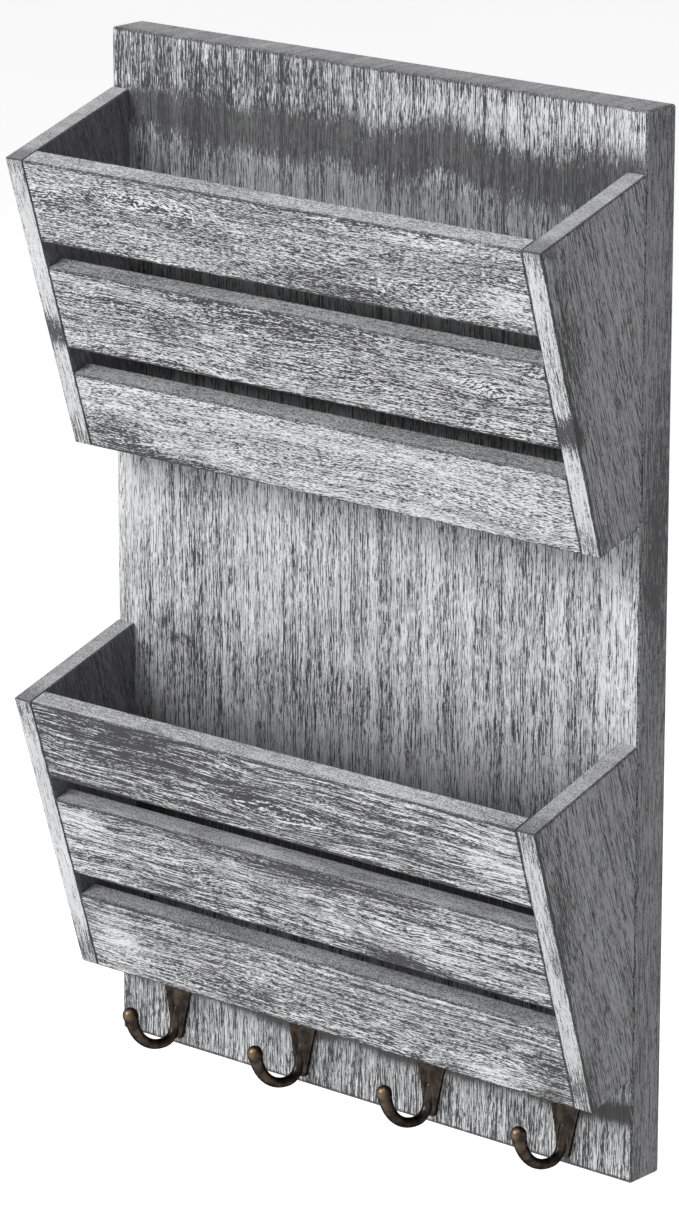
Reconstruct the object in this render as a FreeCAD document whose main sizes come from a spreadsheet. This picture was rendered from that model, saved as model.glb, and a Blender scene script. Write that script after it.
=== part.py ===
"""Wall mail organizer: a back panel that carries two slatted, forward-leaning bins and four cast hooks.

Frame: X runs along the wall, Y points into the wall, Z is up. The origin is the centre of the back
face, which lies on the wall. All lengths are millimetres and all angles are degrees.
"""
import FreeCAD, Part
import Sketcher
import math
import os

SIZES = {
    # back panel
    "panel_width": 280.0,
    "panel_thickness": 18.5,
    "panel_arris": 0.8,
    "top_margin": 25.0,
    "bin_gap": 90.7,
    # bins: boards with square corners, leaned forward and cut vertical against the panel
    "lean": 17.2,
    "foot_depth": 25.5,
    "slat_width": 37.5,
    "upper_slot": 12.0,
    "lower_slot": 11.0,
    "last_slat_width": 35.0,
    "side_thickness": 9.5,
    "slat_thickness": 9.5,
    "floor_thickness": 9.5,
    "board_arris": 0.5,
    # square brads, driven below the surface: in the ends of slats and floors, and through the panel
    "brad_width": 1.2,
    "brad_cover": 1.5,
    "brad_bite": 14.0,
    "brad_inset": 9.0,
    "back_brad_bite": 18.0,
    "back_brad_inset": 22.0,
    # keyhole slots in the back, for two wall screws
    "keyhole_inset": 40.0,
    "keyhole_margin": 38.0,
    "keyhole_entry": 9.5,
    "keyhole_slot": 5.0,
    "keyhole_travel": 14.0,
    "keyhole_lip": 3.5,
    "keyhole_depth": 9.0,
    # cast hooks
    "hook_inset": 33.5,
    "hook_foot": 4.0,
    "hook_headroom": 2.7,
    "plate_height": 39.0,
    "plate_width": 17.0,
    "plate_shoulder": 11.0,
    "plate_tip_width": 4.8,
    "plate_edge": 1.2,
    "plate_ridge": 3.0,
    "plate_land": 2.2,
    "land_margin": 3.2,
    "prong_slope": 45.0,
    "prong_root_run": 5.5,
    "prong_root_bend": 7.0,
    "prong_reach": 10.0,
    "prong_bend": 21.5,
    "prong_sweep": 75.0,
    "prong_diameter": 4.4,
    "prong_neck": 5.2,
    "prong_knob": 7.3,
    "prong_knob_end": 2.2,
    "hook_screw_diameter": 2.8,
    "hook_screw_head": 5.2,
    "hook_screw_head_height": 1.7,
    "hook_screw_top": 5.0,
    "hook_screw_pitch": 8.5,
    "screw_cover": 6.5,
    # around every shank and brad
    "hole_clearance": 0.05,
}

HOOK_COUNT = 4

# How finely the hook's prong is lofted, in spans between rings.
ROOT_BEND_SPANS = 3
BEND_SPANS = 6
KNOB_SPANS = 3

# Sizes that follow from the ones above, as expressions on the sheet. A bin's foot is where its sides
# meet the panel; FOOT_Y and FOOT_Z lead from there to the front foot, the origin of the leaned frame.
FRONT_EDGE = "(2 * (Sizes.slat_width + Sizes.upper_slot) + Sizes.last_slat_width)"
BIN_HEIGHT = f"({FRONT_EDGE} / cos(Sizes.lean))"
MOUTH_DEPTH = f"(Sizes.foot_depth + {FRONT_EDGE} * sin(Sizes.lean))"
HOOK_ZONE = "(Sizes.hook_foot + Sizes.plate_height + Sizes.hook_headroom)"
PANEL_HEIGHT = f"(Sizes.top_margin + 2 * {BIN_HEIGHT} + Sizes.bin_gap + {HOOK_ZONE})"
HALF_WIDTH = "(Sizes.panel_width / 2)"
SIDE_INNER = f"({HALF_WIDTH} - Sizes.side_thickness)"
SIDE_MIDDLE = f"({HALF_WIDTH} - Sizes.side_thickness / 2)"
LOWER_FOOT = f"(-{PANEL_HEIGHT} / 2 + {HOOK_ZONE})"
UPPER_FOOT = f"({LOWER_FOOT} + {BIN_HEIGHT} + Sizes.bin_gap)"
FOOT_Y = "-Sizes.foot_depth"
FOOT_Z = "(-Sizes.foot_depth * tan(Sizes.lean))"
FLOOR_BRAD = ("(Sizes.slat_thickness + Sizes.foot_depth / cos(Sizes.lean)) / 2", "Sizes.floor_thickness / 2")
KEYHOLE_X = f"({HALF_WIDTH} - Sizes.keyhole_inset)"
KEYHOLE_Z = f"({PANEL_HEIGHT} / 2 - Sizes.keyhole_margin)"
HOOK_SPAN = "(Sizes.panel_width - 2 * Sizes.hook_inset)"
HOOK_Z = f"(-{PANEL_HEIGHT} / 2 + Sizes.hook_foot)"

BINS = {
    "upper_bin": {"foot": UPPER_FOOT, "slot": "Sizes.upper_slot"},
    "lower_bin": {"foot": LOWER_FOOT, "slot": "Sizes.lower_slot"},
}
SIDES = {"left": -1, "right": 1}

doc = FreeCAD.newDocument("wall_mail_organizer")
sheet = doc.addObject("Spreadsheet::Sheet", "Sizes")
for row, (name, value) in enumerate(SIZES.items(), start=1):
    sheet.set(f"A{row}", name)
    sheet.set(f"B{row}", str(value))
    sheet.setAlias(f"B{row}", name)
doc.recompute()

nodes = []


def number(expression):
    """The present value of an expression on the sheet."""
    return float(sheet.evalExpression(expression))


def bind(thing, **formulas):
    """Tie properties to formulas; a double underscore in a name stands for a dot."""
    for name, formula in formulas.items():
        thing.setExpression(name.replace("__", "."), formula)


def new_body(name, x="0", y="0", z="0", turn=None):
    """A body that is one node, placed by formulas and turned about X."""
    body = doc.addObject("PartDesign::Body", name)
    body.Label = name
    if turn is not None:
        body.Placement = FreeCAD.Placement(FreeCAD.Vector(), FreeCAD.Rotation(FreeCAD.Vector(1, 0, 0), 1))
        bind(body, Placement__Rotation__Angle=turn)
    bind(body, Placement__Base__x=x, Placement__Base__y=y, Placement__Base__z=z)
    nodes.append(body)
    return body


def origin_item(body, role):
    """One of the body's own origin planes or axes."""
    return next(item for item in body.Origin.OriginFeatures if item.Role == role)


def new_sketch(body, name, role, lift="0"):
    """A sketch on one of the body's own planes, lifted along the plane's normal."""
    sketch = body.newObject("Sketcher::SketchObject", name)
    sketch.AttachmentSupport = [(origin_item(body, role), "")]
    sketch.MapMode = "FlatFace"
    bind(sketch, AttachmentOffset__Base__z=lift)
    return sketch


def pin_point(sketch, geometry, point, x, y):
    """Hold a sketch point at the place two formulas give."""
    for kind, formula, axis in (("DistanceX", x, -2), ("DistanceY", y, -1)):
        if formula == "0":
            sketch.addConstraint(Sketcher.Constraint("PointOnObject", geometry, point, axis))
        else:
            size = Sketcher.Constraint(kind, -1, 1, geometry, point, number(formula))
            index = sketch.addConstraint(size)
            sketch.setExpression(f"Constraints[{index}]", formula)


def vector(x, y):
    return FreeCAD.Vector(number(x), number(y), 0)


def polygon(sketch, corners):
    """A closed outline through corners given as pairs of formulas."""
    first = sketch.GeometryCount
    count = len(corners)
    for index, corner in enumerate(corners):
        following = corners[(index + 1) % count]
        sketch.addGeometry(Part.LineSegment(vector(*corner), vector(*following)), False)
    for index in range(count):
        following = first + (index + 1) % count
        sketch.addConstraint(Sketcher.Constraint("Coincident", first + index, 2, following, 1))
    for index, corner in enumerate(corners):
        pin_point(sketch, first + index, 1, *corner)


def rectangle(sketch, x0, y0, x1, y1):
    polygon(sketch, [(x0, y0), (x1, y0), (x1, y1), (x0, y1)])


def circles(sketch, centres, diameter):
    """Equal circles at centres given as pairs of formulas."""
    for centre in centres:
        circle = Part.Circle(vector(*centre), FreeCAD.Vector(0, 0, 1), number(diameter) / 2)
        index = sketch.addGeometry(circle, False)
        pin_point(sketch, index, 3, *centre)
        size = sketch.addConstraint(Sketcher.Constraint("Diameter", index, number(diameter)))
        sketch.setExpression(f"Constraints[{size}]", diameter)


def squares(sketch, centres, width):
    """Equal squares on centres given as pairs of formulas."""
    half = f"{width} / 2"
    for x, y in centres:
        rectangle(sketch, f"{x} - {half}", f"{y} - {half}", f"{x} + {half}", f"{y} + {half}")


def obround(sketch, x, y, width, height):
    """An upright slot with round ends, centred on a point."""
    radius = f"({width} / 2)"
    reach = f"({height} / 2 - {width} / 2)"
    top = vector(x, f"{y} + {reach}")
    low = vector(x, f"{y} - {reach}")
    bend = number(radius)
    side = FreeCAD.Vector(bend, 0, 0)
    axis = FreeCAD.Vector(0, 0, 1)
    upper = sketch.addGeometry(Part.ArcOfCircle(Part.Circle(top, axis, bend), 0, math.pi), False)
    left = sketch.addGeometry(Part.LineSegment(top - side, low - side), False)
    lower = sketch.addGeometry(Part.ArcOfCircle(Part.Circle(low, axis, bend), math.pi, 2 * math.pi), False)
    right = sketch.addGeometry(Part.LineSegment(low + side, top + side), False)
    ring = [upper, left, lower, right]
    for one, following in zip(ring, ring[1:] + ring[:1]):
        sketch.addConstraint(Sketcher.Constraint("Tangent", one, 2, following, 1))
    pin_point(sketch, upper, 3, x, f"{y} + {reach}")
    pin_point(sketch, lower, 3, x, f"{y} - {reach}")
    size = sketch.addConstraint(Sketcher.Constraint("Radius", upper, bend))
    sketch.setExpression(f"Constraints[{size}]", radius)


def feature(body, kind, name, sketch, **formulas):
    """A feature that reads one sketch and takes its sizes from formulas."""
    made = body.newObject(f"PartDesign::{kind}", name)
    made.Profile = sketch
    bind(made, **formulas)
    return made


def pad(body, name, sketch, length, centred=False, reverse=False):
    made = feature(body, "Pad", name, sketch, Length=length)
    if centred:
        made.SideType = "Symmetric"
    made.Reversed = reverse
    doc.recompute()
    return made


def cut(body, name, sketch, length=None, reverse=False, both_ways=False):
    """A pocket; it has to take material away, or the build stops."""
    before = body.Shape.Volume
    made = feature(body, "Pocket", name, sketch)
    if length is None:
        made.Type = "ThroughAll"
    else:
        bind(made, Length=length)
    if both_ways:
        made.SideType = "Symmetric"
    made.Reversed = reverse
    doc.recompute()
    if not body.Shape.Volume < before:
        raise RuntimeError(f"{body.Label}: {name} cuts nothing")
    return made


def ease_edges(body, base, size):
    """Take a small bevel off every arris of a board."""
    made = body.newObject("PartDesign::Chamfer", "arris")
    made.Base = (base, [""])
    made.UseAllEdges = True
    bind(made, Size=size)
    doc.recompute()
    return made


def loose(diameter):
    """The hole that a shank or brad passes without touching."""
    return f"({diameter} + 2 * Sizes.hole_clearance)"


def back_brad_heights(foot):
    """Three brads up the back edge of a bin's side."""
    inset = "Sizes.back_brad_inset"
    return [f"{foot} + {inset}", f"{foot} + {BIN_HEIGHT} / 2", f"{foot} + {BIN_HEIGHT} - {inset}"]


def hook_x(index):
    return f"{HOOK_SPAN} * ({index} / {HOOK_COUNT - 1} - 1 / 2)"


def hook_screw_heights():
    """The lower and the upper screw of a hook, up from the plate's foot."""
    high = "(Sizes.plate_height - Sizes.hook_screw_top)"
    return (f"({high} - Sizes.hook_screw_pitch)", high)


def slat_spans(slot):
    """Where the three slats start and end, measured up the front edge from the foot."""
    step = f"(Sizes.slat_width + {slot})"
    last = f"({FRONT_EDGE} - 2 * {step})"
    return {
        "bottom_slat": ("0", last),
        "middle_slat": (f"{last} + {slot}", f"{last} + {step}"),
        "top_slat": (f"{FRONT_EDGE} - Sizes.slat_width", FRONT_EDGE),
    }


def slat_brads(span):
    """The two brads in each end of a slat, in the leaned frame."""
    start, end = span
    depth = "Sizes.slat_thickness / 2"
    return [(depth, f"{start} + Sizes.brad_inset"), (depth, f"{end} - Sizes.brad_inset")]


def all_brads(slot):
    return [brad for span in slat_spans(slot).values() for brad in slat_brads(span)] + [FLOOR_BRAD]


def lean_sketch(sketch, foot_y, foot_z):
    """Turn a sketch of the YZ plane into the leaned frame, whose origin is the bin's front foot."""
    turn = FreeCAD.Rotation(FreeCAD.Vector(0, 0, 1), 1)
    sketch.AttachmentOffset = FreeCAD.Placement(FreeCAD.Vector(), turn)
    bind(
        sketch,
        AttachmentOffset__Base__x=foot_y,
        AttachmentOffset__Base__y=foot_z,
        AttachmentOffset__Rotation__Angle="Sizes.lean",
    )


def make_panel():
    """The back panel, with the holes of its brads and screws and two keyholes to hang it by."""
    body = new_body("back_panel")
    board = new_sketch(body, "board", "XZ_Plane")
    rectangle(board, f"-{HALF_WIDTH}", f"-{PANEL_HEIGHT} / 2", HALF_WIDTH, f"{PANEL_HEIGHT} / 2")
    ease_edges(body, pad(body, "plank", board, "Sizes.panel_thickness"), "Sizes.panel_arris")

    brads = new_sketch(body, "back_brad_layout", "XZ_Plane")
    heights = [height for each in BINS.values() for height in back_brad_heights(each["foot"])]
    places = [(x, height) for x in (f"-{SIDE_MIDDLE}", SIDE_MIDDLE) for height in heights]
    squares(brads, places, loose("Sizes.brad_width"))
    cut(body, "back_brad_holes", brads, both_ways=True)

    cut_keyholes(body)

    hook_screws = new_sketch(body, "hook_screw_layout", "XZ_Plane", "Sizes.panel_thickness")
    heights = [f"{HOOK_Z} + {height}" for height in hook_screw_heights()]
    places = [(hook_x(index), height) for index in range(HOOK_COUNT) for height in heights]
    circles(hook_screws, places, loose("Sizes.hook_screw_diameter"))
    depth = "Sizes.panel_thickness - Sizes.screw_cover + Sizes.hole_clearance"
    cut(body, "hook_screw_holes", hook_screws, depth)


def cut_keyholes(body):
    """Two routed keyholes: a screw's head enters low, then rides up behind the lips of the slot."""
    entry = new_sketch(body, "keyhole_entry_layout", "XZ_Plane")
    slot = new_sketch(body, "keyhole_slot_layout", "XZ_Plane")
    undercut = new_sketch(body, "keyhole_undercut_layout", "XZ_Plane", "Sizes.keyhole_lip")
    half_travel = "Sizes.keyhole_travel / 2"
    for x in (f"-{KEYHOLE_X}", KEYHOLE_X):
        middle = (x, f"{KEYHOLE_Z} - {half_travel}")
        circles(entry, [(x, f"{KEYHOLE_Z} - Sizes.keyhole_travel")], "Sizes.keyhole_entry")
        obround(slot, *middle, "Sizes.keyhole_slot", "(Sizes.keyhole_travel + Sizes.keyhole_slot)")
        obround(undercut, *middle, "Sizes.keyhole_entry", "(Sizes.keyhole_travel + Sizes.keyhole_entry)")
    cut(body, "keyhole_entries", entry, "Sizes.keyhole_depth", reverse=True)
    cut(body, "keyhole_slots", slot, "Sizes.keyhole_depth", reverse=True)
    cut(body, "keyhole_undercuts", undercut, "Sizes.keyhole_depth - Sizes.keyhole_lip", reverse=True)


def make_side(bin_name, foot, slot, hand_name, hand):
    """A bin's side board, drawn in the YZ plane with its origin at the foot of its back edge."""
    body = new_body(f"{bin_name}_{hand_name}_side", y="-Sizes.panel_thickness", z=foot)
    inner = f"{hand} * {SIDE_INNER}"
    outline = new_sketch(body, "outline", "YZ_Plane", inner)
    front_top = f"{BIN_HEIGHT} - {MOUTH_DEPTH} * tan(Sizes.lean)"
    polygon(outline, [("0", "0"), ("0", BIN_HEIGHT), (f"-{MOUTH_DEPTH}", front_top), (FOOT_Y, FOOT_Z)])
    board = pad(body, "board", outline, "Sizes.side_thickness", reverse=hand < 0)
    ease_edges(body, board, "Sizes.board_arris")

    brads = new_sketch(body, "brad_layout", "YZ_Plane", inner)
    lean_sketch(brads, FOOT_Y, FOOT_Z)
    squares(brads, all_brads(slot), loose("Sizes.brad_width"))
    cut(body, "brad_holes", brads, "Sizes.side_thickness - Sizes.brad_cover", reverse=hand > 0)

    back_brads = new_sketch(body, "back_brad_layout", "XZ_Plane")
    places = [(f"{hand} * {SIDE_MIDDLE}", height) for height in back_brad_heights("0")]
    squares(back_brads, places, loose("Sizes.brad_width"))
    cut(body, "back_brad_holes", back_brads, "Sizes.back_brad_bite + Sizes.hole_clearance", reverse=True)


def make_crosspiece(bin_name, foot, name, corners, brads):
    """A board between the sides, drawn as its section in the leaned frame and run along X."""
    y = f"-Sizes.panel_thickness + {FOOT_Y}"
    body = new_body(f"{bin_name}_{name}", y=y, z=f"{foot} + {FOOT_Z}", turn="Sizes.lean")
    section = new_sketch(body, "section", "YZ_Plane")
    polygon(section, corners)
    board = pad(body, "board", section, f"2 * {SIDE_INNER}", centred=True)
    ease_edges(body, board, "Sizes.board_arris")
    for side, sign in SIDES.items():
        ends = new_sketch(body, f"{side}_brad_layout", "YZ_Plane", f"{sign} * {SIDE_INNER}")
        squares(ends, brads, loose("Sizes.brad_width"))
        depth = "Sizes.brad_bite + Sizes.hole_clearance"
        cut(body, f"{side}_brad_holes", ends, depth, reverse=sign < 0)


def make_slats(bin_name, foot, slot):
    """The three front slats of a bin, each standing on the leaned front edge line."""
    for name, span in slat_spans(slot).items():
        start, end = span
        corners = [("0", start), ("Sizes.slat_thickness", start), ("Sizes.slat_thickness", end), ("0", end)]
        make_crosspiece(bin_name, foot, name, corners, slat_brads(span))


def make_floor(bin_name, foot):
    """The floor board; its back edge is cut vertical to sit against the panel."""
    back_low = "Sizes.foot_depth / cos(Sizes.lean)"
    back_high = "(Sizes.foot_depth + Sizes.floor_thickness * sin(Sizes.lean)) / cos(Sizes.lean)"
    corners = [
        ("Sizes.slat_thickness", "0"),
        (back_low, "0"),
        (back_high, "Sizes.floor_thickness"),
        ("Sizes.slat_thickness", "Sizes.floor_thickness"),
    ]
    make_crosspiece(bin_name, foot, "floor", corners, [FLOOR_BRAD])


def make_brads(bin_name, foot, slot):
    """Brads sunk into each side and driven on into the ends of slats and floor."""
    y = f"-Sizes.panel_thickness + {FOOT_Y}"
    body = new_body(f"{bin_name}_brads", y=y, z=f"{foot} + {FOOT_Z}", turn="Sizes.lean")
    head = f"({HALF_WIDTH} - Sizes.brad_cover)"
    layout = new_sketch(body, "layout", "YZ_Plane", head)
    squares(layout, all_brads(slot), "Sizes.brad_width")
    right = pad(body, "right_brads", layout, f"{head} - {SIDE_INNER} + Sizes.brad_bite", reverse=True)
    left = body.newObject("PartDesign::Mirrored", "left_brads")
    left.Originals = [right]
    left.MirrorPlane = (origin_item(body, "YZ_Plane"), [""])
    body.Tip = left
    doc.recompute()


def make_cheese_screw(body, head, height, shank, length):
    """A wood screw with a plain round head, along its own Y axis: the underside of its head is at Y 0.

    Its thread, point and driver recess are too fine to model.
    """
    head_disc = new_sketch(body, "head_disc", "XZ_Plane")
    circles(head_disc, [("0", "0")], head)
    shank_disc = new_sketch(body, "shank_disc", "XZ_Plane")
    circles(shank_disc, [("0", "0")], shank)
    return [pad(body, "head", head_disc, height), pad(body, "shank", shank_disc, length, reverse=True)]


def repeat(body, originals, axis, length, count):
    """Copies of features in a row along one of the body's axes."""
    row = body.newObject("PartDesign::LinearPattern", "row")
    row.Originals = originals
    row.Direction = (origin_item(body, axis), [""])
    row.Occurrences = count
    bind(row, Length=length)
    body.Tip = row
    doc.recompute()


def make_back_brads(bin_name, foot):
    """Brads through the panel into the back edges of a bin's sides."""
    body = new_body(f"{bin_name}_back_brads", y="-Sizes.brad_cover", z=foot)
    layout = new_sketch(body, "layout", "XZ_Plane")
    places = [(x, height) for x in (f"-{SIDE_MIDDLE}", SIDE_MIDDLE) for height in back_brad_heights("0")]
    squares(layout, places, "Sizes.brad_width")
    pad(body, "brads", layout, "Sizes.panel_thickness - Sizes.brad_cover + Sizes.back_brad_bite")


def make_hook(index):
    """A cast hook: a ridged, leaf-shaped plate with a round prong that ends in a knob.

    Its origin is on the panel's front face, at the foot of the plate.
    """
    body = new_body(f"key_hook_{index + 1}", x=hook_x(index), y="-Sizes.panel_thickness", z=HOOK_Z)
    make_leaf(body)
    cut_facets(body)
    cut_land(body)
    make_prong(body)
    trim_root(body)
    screws = new_sketch(body, "screw_layout", "XZ_Plane")
    places = [("0", height) for height in hook_screw_heights()]
    circles(screws, places, loose("Sizes.hook_screw_diameter"))
    cut(body, "screw_holes", screws, both_ways=True)


def make_leaf(body):
    """The plate as a slab: straight flanks that widen upwards, under a round crown."""
    leaf = new_sketch(body, "leaf_outline", "XZ_Plane")
    half_tip = "Sizes.plate_tip_width / 2"
    half_width = "Sizes.plate_width / 2"
    shoulder = "(Sizes.plate_height - Sizes.plate_shoulder)"
    crown = f"(({half_width})^2 + Sizes.plate_shoulder^2) / (2 * Sizes.plate_shoulder)"
    corners = [(f"-{half_width}", shoulder), (f"-{half_tip}", "0"), (half_tip, "0"), (half_width, shoulder)]
    for start, end in zip(corners, corners[1:]):
        leaf.addGeometry(Part.LineSegment(vector(*start), vector(*end)), False)
    last = len(corners) - 2
    top = vector("0", "Sizes.plate_height")
    arc = leaf.addGeometry(Part.Arc(vector(*corners[-1]), top, vector(*corners[0])), False)
    for line in range(last):
        leaf.addConstraint(Sketcher.Constraint("Coincident", line, 2, line + 1, 1))
    leaf.addConstraint(Sketcher.Constraint("Coincident", last, 2, arc, 1))
    leaf.addConstraint(Sketcher.Constraint("Coincident", arc, 2, 0, 1))
    for line in range(last + 1):
        pin_point(leaf, line, 1, *corners[line])
    pin_point(leaf, last, 2, *corners[-1])
    height = f"Sizes.plate_height - {crown}"
    middle = leaf.addConstraint(Sketcher.Constraint("DistanceY", -1, 1, arc, 3, number(height)))
    leaf.setExpression(f"Constraints[{middle}]", height)
    pad(body, "plate", leaf, "Sizes.plate_ridge")


def cut_facets(body):
    """The two sloping facets, which meet in a ridge down the middle and thin the plate to its edges."""
    facets = new_sketch(body, "facet_outline", "XY_Plane")
    slope = "(Sizes.plate_ridge - Sizes.plate_edge) / (Sizes.plate_width / 2)"
    beyond = "Sizes.plate_width"
    edge = f"-Sizes.plate_ridge + {beyond} * {slope}"
    clear = "-2 * Sizes.plate_ridge"
    for sign in ("-", ""):
        polygon(facets, [("0", "-Sizes.plate_ridge"), (f"{sign}{beyond}", edge), (f"{sign}{beyond}", clear)])
    cut(body, "facets", facets, both_ways=True)


def cut_land(body):
    """A flat land along the upper ridge, where the two screw heads sit."""
    low, _ = hook_screw_heights()
    land = new_sketch(body, "land_outline", "XZ_Plane", "Sizes.plate_land")
    half_width = "Sizes.plate_width / 2"
    rectangle(land, f"-{half_width}", f"{low} - Sizes.land_margin", half_width, "Sizes.plate_height")
    cut(body, "land", land, "Sizes.plate_ridge", reverse=True)


def prong_stations():
    """The prong's rings, from inside the plate to the knob's end: each a place, a heading and a size.

    A heading of 0 points down, 90 away from the wall and 180 up.
    """
    centre_y = "-Sizes.prong_reach"
    slope = "Sizes.prong_slope"
    root_y = f"{centre_y} + Sizes.prong_root_bend * cos({slope})"
    root_z = f"Sizes.prong_root_bend - Sizes.prong_root_bend * sin({slope})"
    run = "Sizes.prong_root_run"
    root = (f"{root_y} + {run} * sin({slope})", f"{root_z} + {run} * cos({slope})")
    stations = [(*root, slope, "Sizes.prong_diameter")]
    for step in range(ROOT_BEND_SPANS):
        turn = f"({slope} + (90 - {slope}) * {step} / {ROOT_BEND_SPANS})"
        y = f"{centre_y} + Sizes.prong_root_bend * cos{turn}"
        z = f"Sizes.prong_root_bend - Sizes.prong_root_bend * sin{turn}"
        stations.append((y, z, turn, "Sizes.prong_diameter"))
    for step in range(BEND_SPANS + 1):
        turn = f"(Sizes.prong_sweep * {step} / {BEND_SPANS})"
        y = f"{centre_y} - Sizes.prong_bend * sin{turn}"
        z = f"Sizes.prong_bend - Sizes.prong_bend * cos{turn}"
        swell = f"(Sizes.prong_neck - Sizes.prong_diameter) * ({step} / {BEND_SPANS})^2"
        stations.append((y, z, f"(90 + {turn})", f"Sizes.prong_diameter + {swell}"))
    neck_y, neck_z, heading, _ = stations[-1]
    first = "(asin(Sizes.prong_neck / Sizes.prong_knob) / 1 deg)"
    last = "(180 - asin(Sizes.prong_knob_end / Sizes.prong_knob) / 1 deg)"
    for step in range(1, KNOB_SPANS + 1):
        polar = f"({first} + ({last} - {first}) * {step} / {KNOB_SPANS})"
        ahead = f"Sizes.prong_knob / 2 * (cos{first} - cos{polar})"
        place = (f"{neck_y} - {ahead} * sin{heading}", f"{neck_z} - {ahead} * cos{heading}")
        stations.append((*place, heading, f"Sizes.prong_knob * sin{polar}"))
    return stations


def make_prong(body):
    """The prong, lofted through its rings: a root, a tight bend, a wide one and a round knob."""
    rings = []
    for index, (y, z, heading, size) in enumerate(prong_stations(), start=1):
        ring = new_sketch(body, f"prong_ring_{index}", "XY_Plane")
        turn = FreeCAD.Rotation(FreeCAD.Vector(-1, 0, 0), 1)
        ring.AttachmentOffset = FreeCAD.Placement(FreeCAD.Vector(), turn)
        bind(
            ring,
            AttachmentOffset__Base__y=y,
            AttachmentOffset__Base__z=z,
            AttachmentOffset__Rotation__Angle=heading,
        )
        circles(ring, [("0", "0")], size)
        rings.append(ring)
    doc.recompute()
    prong = feature(body, "AdditiveLoft", "prong", rings[0])
    prong.Sections = rings[1:]
    prong.Ruled = True
    doc.recompute()


def trim_root(body):
    """Cut the prong's root flush with the plate's back, which lies on the panel."""
    flush = new_sketch(body, "flush_outline", "XZ_Plane")
    half_width = "Sizes.plate_width / 2"
    rectangle(flush, f"-{half_width}", "0", half_width, "Sizes.plate_height")
    cut(body, "flush_back", flush, "Sizes.prong_diameter")


def make_hook_screws(index):
    """The hook's two screws, one above the other, seated on the plate's land."""
    low, _ = hook_screw_heights()
    y = "-Sizes.panel_thickness - Sizes.plate_land"
    body = new_body(f"key_hook_{index + 1}_screws", x=hook_x(index), y=y, z=f"{HOOK_Z} + {low}")
    screw = make_cheese_screw(
        body,
        head="Sizes.hook_screw_head",
        height="Sizes.hook_screw_head_height",
        shank="Sizes.hook_screw_diameter",
        length="Sizes.plate_land + Sizes.panel_thickness - Sizes.screw_cover",
    )
    repeat(body, screw, "Z_Axis", "Sizes.hook_screw_pitch", 2)


def write_nodes():
    """Every object has to be sound before any file is written."""
    doc.recompute()
    for item in doc.Objects:
        if {"Invalid", "Error"} & set(item.State):
            raise RuntimeError(f"{item.Label}: {item.State}")
    for node in nodes:
        if node.Shape.isNull() or not node.Shape.isValid() or not node.Shape.Solids:
            raise RuntimeError(f"{node.Label}: its shape is not sound")
    os.makedirs("parts", exist_ok=True)
    for node in nodes:
        node.Shape.exportStep(f"parts/{node.Label}.step")
        print(node.Label, len(node.Shape.Solids), "solids", round(node.Shape.Volume, 1), "mm3")


make_panel()
for bin_name, each in BINS.items():
    for hand_name, hand in SIDES.items():
        make_side(bin_name, each["foot"], each["slot"], hand_name, hand)
    make_slats(bin_name, each["foot"], each["slot"])
    make_floor(bin_name, each["foot"])
    make_brads(bin_name, each["foot"], each["slot"])
    make_back_brads(bin_name, each["foot"])
for index in range(HOOK_COUNT):
    make_hook(index)
    make_hook_screws(index)
write_nodes()
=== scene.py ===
# %% [markdown]
# # A wall mail organizer in weathered, whitewashed wood
#
# The real object is a wooden panel for the wall. It carries two slatted bins that lean forward, and a row
# of four small cast hooks. Its boards come from the measured model, so this lesson is about the finishes
# and the small metal parts: a grey stain under a worn white wash, dark antique bronze, and soft light.
#
# X runs along the wall, Y into it and Z up, from the middle of the panel's back. Sizes are thought of in
# millimetres, and turned into metres where a mesh or a material needs them.

# %% Load the measured model
import math

import bmesh
import bpy
from mathutils import Matrix, Vector


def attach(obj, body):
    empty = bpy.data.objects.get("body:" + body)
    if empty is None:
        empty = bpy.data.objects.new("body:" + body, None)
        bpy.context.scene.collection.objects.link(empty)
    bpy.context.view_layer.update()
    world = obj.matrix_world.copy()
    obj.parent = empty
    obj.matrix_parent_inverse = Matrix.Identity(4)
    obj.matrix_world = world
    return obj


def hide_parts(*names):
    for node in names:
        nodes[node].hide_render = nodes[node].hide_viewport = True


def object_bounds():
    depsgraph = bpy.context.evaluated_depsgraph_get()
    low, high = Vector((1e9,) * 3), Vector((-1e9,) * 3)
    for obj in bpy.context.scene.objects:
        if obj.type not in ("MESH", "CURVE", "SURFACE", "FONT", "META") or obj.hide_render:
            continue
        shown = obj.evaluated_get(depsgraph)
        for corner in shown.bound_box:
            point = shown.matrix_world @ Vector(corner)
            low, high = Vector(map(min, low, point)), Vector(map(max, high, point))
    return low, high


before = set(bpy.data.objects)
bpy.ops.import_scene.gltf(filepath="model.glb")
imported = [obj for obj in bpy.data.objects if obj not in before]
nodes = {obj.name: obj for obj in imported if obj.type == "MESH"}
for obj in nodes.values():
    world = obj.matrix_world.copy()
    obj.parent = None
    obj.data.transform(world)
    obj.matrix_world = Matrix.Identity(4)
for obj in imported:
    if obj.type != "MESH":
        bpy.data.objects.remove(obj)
measured_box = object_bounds()
MM = 0.001
measured_size = measured_box[1] - measured_box[0]
print("boards and hardware:", len(nodes), "nodes, size in mm", [round(v / MM) for v in measured_size])

# %% [markdown]
# ## The camera
#
# The camera looks down from the right through a long lens, from about two metres. Its place, aim and lens
# were found by fitting the corners of the boards. A long lens keeps the upright edges almost parallel, as
# a careful product picture does.

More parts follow.
